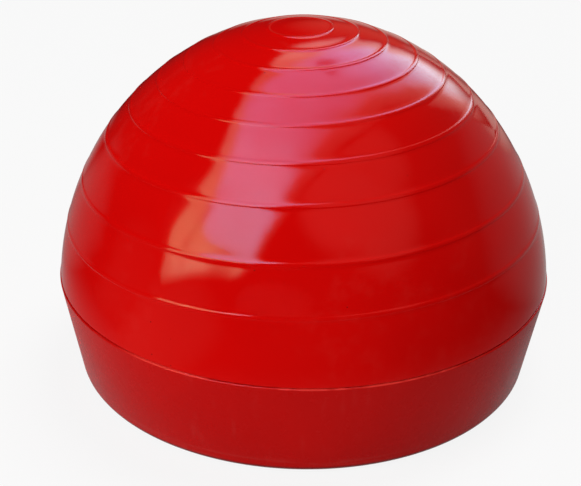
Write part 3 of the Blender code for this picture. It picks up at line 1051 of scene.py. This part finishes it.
windowSettings = {
    "distance": 2.5,
    "columns": 8,
    "light": 26.0,
    # From its low front end over the top to its far end: the left and right edge in degrees from straight
    # overhead (right, back), and how many degrees the light spills past the right edge
    "edges": [
        ((-80.5, -38.5), (-39.5, -62.5), 3.0),
        ((-70.0, -29.0), (-28.0, -58.5), 3.0),
        ((-62.9, -24.5), (-26.0, -57.5), 3.0),
        ((-54.5, -21.4), (-21.0, -51.6), 4.0),
        ((-46.8, -18.7), (-15.5, -45.5), 4.0),
        ((-40.4, -13.8), (-8.5, -36.5), 6.0),
        ((-36.2, -9.4), (-4.0, -28.0), 8.0),
        ((-31.5, 1.4), (1.2, -21.0), 10.0),
        ((-27.7, 9.2), (7.5, -9.6), 11.0),
        ((-21.7, 18.2), (14.0, -2.0), 11.0),
        ((-15.1, 28.3), (20.0, 8.0), 10.0),
        ((-10.0, 36.0), (21.5, 17.1), 11.0),
        ((-4.5, 44.0), (29.0, 25.3), 11.0),
        ((5.0, 51.5), (31.5, 32.2), 11.0),
        ((14.0, 59.5), (39.5, 43.5), 10.0),
        ((24.5, 67.0), (45.5, 54.5), 9.0),
        ((31.0, 80.0), (47.0, 75.0), 6.0),
    ],
    # Brightness across the right edge, from well inside (0) over the edge (0.5) to the end of the spill (1),
    # and the plainer light of the spill itself
    "fade": [(0.0, 1.0), (0.12, 0.97), (0.32, 0.78), (0.50, 0.38), (0.62, 0.08), (0.72, 0.0)],
    "spill": [(0.30, 0.0), (0.52, 1.0), (0.78, 0.90), (0.90, 0.5), (1.0, 0.0)],
    "spillLight": (0.105, 0.075, 0.064),
    # How many degrees the soft left edge takes, along the window, and where its two ends have faded in
    "leftSoft": [(0.0, 3.2), (0.70, 3.2), (0.83, 9.0), (1.0, 10.0)],
    "nearEnd": 0.034,
    "farEnd": 0.93,
    "leftRagged": 0.9,
    "rightRagged": 0.10,
    "raggedScale": 5.0,
    # The light along its length: cool daylight over most of it, a warm curtain down its left side
    "cool": [
        (0.08, (0.30, 0.71, 1.00)),
        (0.22, (0.30, 0.73, 1.12)),
        (0.34, (0.42, 0.64, 1.04)),
        (0.47, (0.20, 0.36, 0.66)),
        (0.62, (0.18, 0.24, 0.46)),
        (0.78, (0.16, 0.28, 0.52)),
        (0.90, (0.19, 0.31, 0.40)),
        (1.00, (0.22, 0.27, 0.25)),
    ],
    "warm": [
        (0.03, (0.60, 0.74, 0.46)),
        (0.09, (0.44, 0.54, 0.28)),
        (0.20, (0.36, 0.47, 0.26)),
        (0.32, (0.32, 0.40, 0.26)),
        (0.47, (0.21, 0.25, 0.22)),
        (0.60, (0.14, 0.13, 0.10)),
        (0.68, (0.24, 0.24, 0.20)),
        (0.80, (0.16, 0.16, 0.16)),
    ],
    # How many degrees the curtain reaches in, along the window, how soft its edge is, and its folds
    "curtain": [
        (0.062, 55.2), (0.084, 26.4), (0.12, 18.6), (0.20, 13.8), (0.31, 7.62),
        (0.52, 4.8), (0.63, 8.82), (0.70, 12.0), (0.78, 10.8), (1.0, 8.82),
    ],
    "curtainEdge": (-2.0, 2.6),
    "foldScale": 3.6,
    "foldReach": 1.6,
    "foldLight": (0.86, 1.12),
    # Dark things in it: (along, degrees from the left edge), (half length, half width), how dark
    "darkEdge": (0.3, 1.6),
    "dark": [
        ((0.70, 19.0), (0.030, 4.5), 0.72),
        ((0.185, 14.5), (0.050, 2.2), 0.34),
        ((0.675, 22.0), (0.014, 3.2), 0.45),
        ((0.225, 16.0), (0.030, 3.0), 0.35),
        ((0.075, 13.0), (0.035, 2.2), 0.35),
        ((0.040, 14.0), (0.020, 2.6), 0.36),
        ((0.020, 3.0), (0.050, 6.5), 0.55),
        ((0.030, 39.0), (0.050, 8.0), 0.62),
    ],
}


def windowLight():
    settings = windowSettings
    material, glow = glowMaterial("window_light")
    known = addNode("Attribute", attribute_name="place").outputs["Vector"]
    fromLeft, past, along = [partOf(known, letter) for letter in "XYZ"]
    surface = objectPlace()
    folds = noiseAt(surface, settings["foldScale"], 4.0, 0.6)
    sway = remap(folds, 0.3, 0.7, -settings["foldReach"], settings["foldReach"])
    reach = calc("ADD", levelRamp(along, settings["curtain"], top=60.0), sway)
    isCool = remap(calc("SUBTRACT", fromLeft, reach), *settings["curtainEdge"])
    warm, cool = [rampOf(along, settings[side]) for side in ("warm", "cool")]
    lit = mixColours(isCool, warm, cool)
    lit = scaled(lit, remap(folds, 0.3, 0.7, *settings["foldLight"]))
    for (alongAt, acrossAt), (halfLong, halfWide), depth in settings["dark"]:
        run = calc("DIVIDE", calc("SUBTRACT", along, alongAt), halfLong)
        over = calc("DIVIDE", calc("SUBTRACT", fromLeft, acrossAt), halfWide)
        far = vectorCalc("LENGTH", addNode("CombineXYZ", {"X": run, "Y": over}))
        keep = remap(far, *settings["darkEdge"], 1 - depth, way="SMOOTHSTEP")
        lit = scaled(lit, keep)
    # Soft, slightly ragged borders
    ragged = remap(noiseAt(surface, settings["raggedScale"], 5.0, 0.65), 0.3, 0.7, -1.0, 1.0)
    left = calc("ADD", fromLeft, times(ragged, settings["leftRagged"]))
    right = calc("ADD", past, times(ragged, settings["rightRagged"]))
    across = remap(right, -1.0, 1.0)
    lit = scaled(lit, levelRamp(across, settings["fade"]))
    spill = scaled(settings["spillLight"], levelRamp(across, settings["spill"]))
    lit = vectorCalc("ADD", lit, spill)
    soft = levelRamp(along, settings["leftSoft"], top=10.0)
    borders = ((left, 0.0, soft), (along, 0.0, settings["nearEnd"]), (along, 1.0, settings["farEnd"]))
    for value, outer, inner in borders:
        lit = scaled(lit, remap(value, outer, inner, way="SMOOTHSTEP"))
    join(lit, glow.inputs["Color"])
    glow.inputs["Strength"].default_value = settings["light"]
    return material


def makeWindow():
    settings = windowSettings
    clearSelection()
    rows = len(settings["edges"]) - 1
    bpy.ops.mesh.primitive_grid_add(x_subdivisions=settings["columns"], y_subdivisions=rows, size=1)
    window = bpy.context.object
    window.name = "window_softbox"
    # Of each point: degrees from the left edge, how far past the right edge, and how far along
    place = window.data.attributes.new("place", "FLOAT_VECTOR", "POINT")
    for v in window.data.vertices:
        row = round((v.co.y + 0.5) * rows)
        left, right, spill = settings["edges"][row]
        across = Vector(right) - Vector(left)
        fromLeft = (v.co.x + 0.5) * (across.length + spill)
        past = (fromLeft - across.length) / spill
        place.data[v.index].vector = (fromLeft, past, row / rows)
        spot = Vector(left) + across.normalized() * fromLeft
        v.co = Vector(studioSettings["middle"]) + overheadVector(*spot) * settings["distance"]
    smoother = window.modifiers.new("smoother", "SUBSURF")
    smoother.levels = smoother.render_levels = 2
    bpy.ops.object.modifier_apply(modifier=smoother.name)
    window.data.materials.append(windowLight())
    seenOnlyInGloss(window)


roomSettings = {
    "distance": 3.0,
    "dark": (0.012, 0.012, 0.012),
    "groundLevel": 0.0015,
    "groundHole": 0.232,
    "groundNear": (0.40, 0.39, 0.39),
    "groundFade": (-0.16, -0.33),  # how steeply down its light begins and is whole
    # Soft glows on it: (azimuth clockwise from the back, elevation), reach and soft edge in degrees, light
    "glows": [
        ((154, 47), 13.0, 11.0, (3.6, 1.15, 1.00)),
        ((138, 37), 9.0, 14.0, (3.4, 1.10, 0.92)),
        ((122, 58), 6.0, 17.0, (3.0, 0.90, 0.76)),
        ((75, 35), 22.0, 28.0, (0.16, 0.15, 0.13)),
        ((-127, -5), 7.0, 17.0, (0.52, 0.50, 0.42)),
        ((-100, 2), 5.0, 14.0, (0.20, 0.18, 0.16)),
        ((-58, -8), 6.0, 16.0, (0.33, 0.31, 0.30)),
        ((-34, -18), 8.5, 6.5, (0.36, 0.34, 0.33)),
        ((60, -3), 16.0, 22.0, (0.45, 0.43, 0.42)),
        ((16, 24), 6.0, 16.0, (0.90, 0.22, 0.16)),
        ((5, -8), 6.0, 12.0, (0.60, 0.52, 0.46)),
        ((30, 6), 6.0, 10.0, (0.90, 0.85, 0.75)),
    ],
}


def roomLight():
    settings = roomSettings
    material, glow = glowMaterial("room_light")
    out = vectorCalc("SUBTRACT", objectPlace(), studioSettings["middle"])
    out = vectorCalc("NORMALIZE", out)
    near = remap(partOf(out, "Z"), *settings["groundFade"], way="SMOOTHSTEP")
    light = vectorCalc("ADD", scaled(settings["groundNear"], near), settings["dark"])
    for heading, reach, edge, colour in settings["glows"]:
        facing = vectorCalc("DOT_PRODUCT", out, headingVector(*heading))
        outer, inner = math.cos(math.radians(reach + edge)), math.cos(math.radians(reach))
        share = remap(facing, outer, inner, way="SMOOTHSTEP")
        light = vectorCalc("MAXIMUM", light, scaled(colour, share))
    join(light, glow.inputs["Color"])
    return material


def makeRoom():
    # The dark room, cut off at the ground, and a flat ring of ground round the trainer
    settings = roomSettings
    level, hole = settings["groundLevel"], settings["groundHole"]
    clearSelection()
    bpy.ops.mesh.primitive_uv_sphere_add(
        segments=64, ring_count=32, radius=settings["distance"], location=studioSettings["middle"]
    )
    room = bpy.context.object
    room.name = "dark_room"
    applyPlace()
    startEdit()
    bpy.ops.mesh.bisect(plane_co=(0, 0, level), plane_no=(0, 0, 1), clear_inner=True)
    clearSelection()
    bpy.ops.mesh.primitive_circle_add(vertices=96, radius=hole, location=(0, 0, level))
    ground = bpy.context.object
    applyPlace()
    startEdit()
    bpy.ops.mesh.extrude_region_move()
    wider = settings["distance"] / hole
    bpy.ops.transform.resize(value=(wider, wider, 1), center_override=(0, 0, 0))
    endEdit()
    room = joinAll([room, ground])
    smoothByAngle(room, 60)
    room.data.materials.append(roomLight())
    seenOnlyInGloss(room)


def backgroundMask():
    # 1 for what the camera sees, straight or in a gloss or through glass
    ray = addNode("LightPath").outputs
    seen = calc("MAXIMUM", ray["Is Camera Ray"], ray["Is Glossy Ray"])
    return calc("MAXIMUM", seen, ray["Is Transmission Ray"])


def makeFloor():
    settings = studioSettings
    clearSelection()
    bpy.ops.mesh.primitive_circle_add(
        vertices=96, radius=settings["floorSize"], fill_type="NGON", location=(0, 0, 0)
    )
    floor = bpy.context.object
    floor.name = "pale_floor"
    # Clear from below; from above, paint that shows the trainer's shade under an even glow
    material, shader = startMaterial("pale_floor", "MixShader")
    mask = backgroundMask()
    tone = mixColours(mask, settings["floorBounce"], settings["floorPaint"])
    paint = addNode("BsdfDiffuse", {"Color": tone})
    glow = addNode("Emission", {"Color": settings["floorLight"]})
    share = times(mask, 1 - settings["ownShade"])
    top = addNode("MixShader", {0: share, 1: paint, 2: glow})
    join(addNode("NewGeometry").outputs["Backfacing"], shader.inputs[0])
    join(top, shader.inputs[1])
    join(addNode("BsdfTransparent"), shader.inputs[2])
    material.cycles.emission_sampling = "NONE"
    floor.data.materials.append(material)


def makeWorld():
    settings = studioSettings
    world = bpy.data.worlds.new("studio")
    bpy.context.scene.world = world
    startNodes(world)
    dim = addNode("Background", {"Color": (1, 1, 1, 1), "Strength": settings["ambient"]})
    pale = addNode("Background", {"Color": settings["pale"]})
    mix = addNode("MixShader", {0: backgroundMask(), 1: dim, 2: pale})
    addNode("OutputWorld", {"Surface": mix})


lampSettings = {
    "distance": 4.0,
    "target": (0.0, 0.0, 0.15),
    # Name, (azimuth clockwise from the back, elevation), (width, height), power, colour
    "lamps": [
        ("left_lamp", (-121, 28), (2.3, 2.3), 70.0, (1.0, 0.99, 0.98)),
        ("front_lamp", (-167, 10), (2.3, 1.1), 72.0, (1.0, 0.99, 0.98)),
        ("overhead_lamp", (37, 69), (2.3, 2.3), 118.0, (1.0, 1.0, 1.0)),
    ],
}


def makeLamps():
    settings = lampSettings
    for name, heading, (width, height), power, colour in settings["lamps"]:
        clearSelection()
        out = headingVector(*heading)
        place = Vector(settings["target"]) + out * settings["distance"]
        bpy.ops.object.light_add(type="AREA", location=place)
        lamp = bpy.context.object
        lamp.name = name
        lamp.data.shape = "ELLIPSE"
        lamp.data.size, lamp.data.size_y = width, height
        lamp.data.energy = power
        lamp.data.color = colour
        lamp.rotation_euler = out.to_track_quat("Z", "Y").to_euler()
        lamp.visible_glossy = lamp.visible_camera = False


cameraSettings = {
    "lens": 87.638,
    "sensor": 36.0,
    "distance": 1.46367,
    "elevation": math.radians(27.255),
    "roll": math.radians(0.94),
    "target": (0.0, 0.0, 0.1147),
    "shift": (-0.02337, 0.01090),
    "farthest": 60,
}


def makeCamera():
    settings = cameraSettings
    clearSelection()
    tilt = settings["elevation"]
    back = Vector((0, -math.cos(tilt), math.sin(tilt)))
    bpy.ops.object.camera_add(location=Vector(settings["target"]) + back * settings["distance"])
    camera = bpy.context.object
    camera.name = "photo_camera"
    aim = (-back).to_track_quat("-Z", "Y").to_matrix()
    roll = Matrix.Rotation(settings["roll"], 3, "Z")
    camera.rotation_euler = (aim @ roll).to_euler()
    camera.data.lens = settings["lens"]
    camera.data.sensor_width = settings["sensor"]
    camera.data.shift_x, camera.data.shift_y = settings["shift"]
    camera.data.clip_end = settings["farthest"]
    bpy.context.scene.camera = camera


print("making the materials")
redVinyl = glossyRedVinyl()
redPlastic = satinRedPlastic()
milkyVinyl = mouldedPlastic("milky_soft_vinyl")
whitePlastic = mouldedPlastic("white_moulded_plastic")
blackRubber = mouldedPlastic("black_foot_rubber")
plywood = birchPlywood()
zinc = zincSteel()

print("making the pieces")
makeDome(redVinyl)
makePan(redPlastic)
makeSeat(milkyVinyl)
makePlug(whitePlastic)
makeScrews(zinc)
makeFeet(blackRubber)
for node, material in (("chamber_floor", redVinyl), ("support_deck", plywood)):
    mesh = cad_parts[node].data
    mesh.materials.clear()
    mesh.materials.append(material)

print("making the studio")
makeWorld()
makeFloor()
makeWindow()
makeRoom()
makeLamps()
makeCamera()
bpy.context.scene.view_settings.view_transform = "Standard"
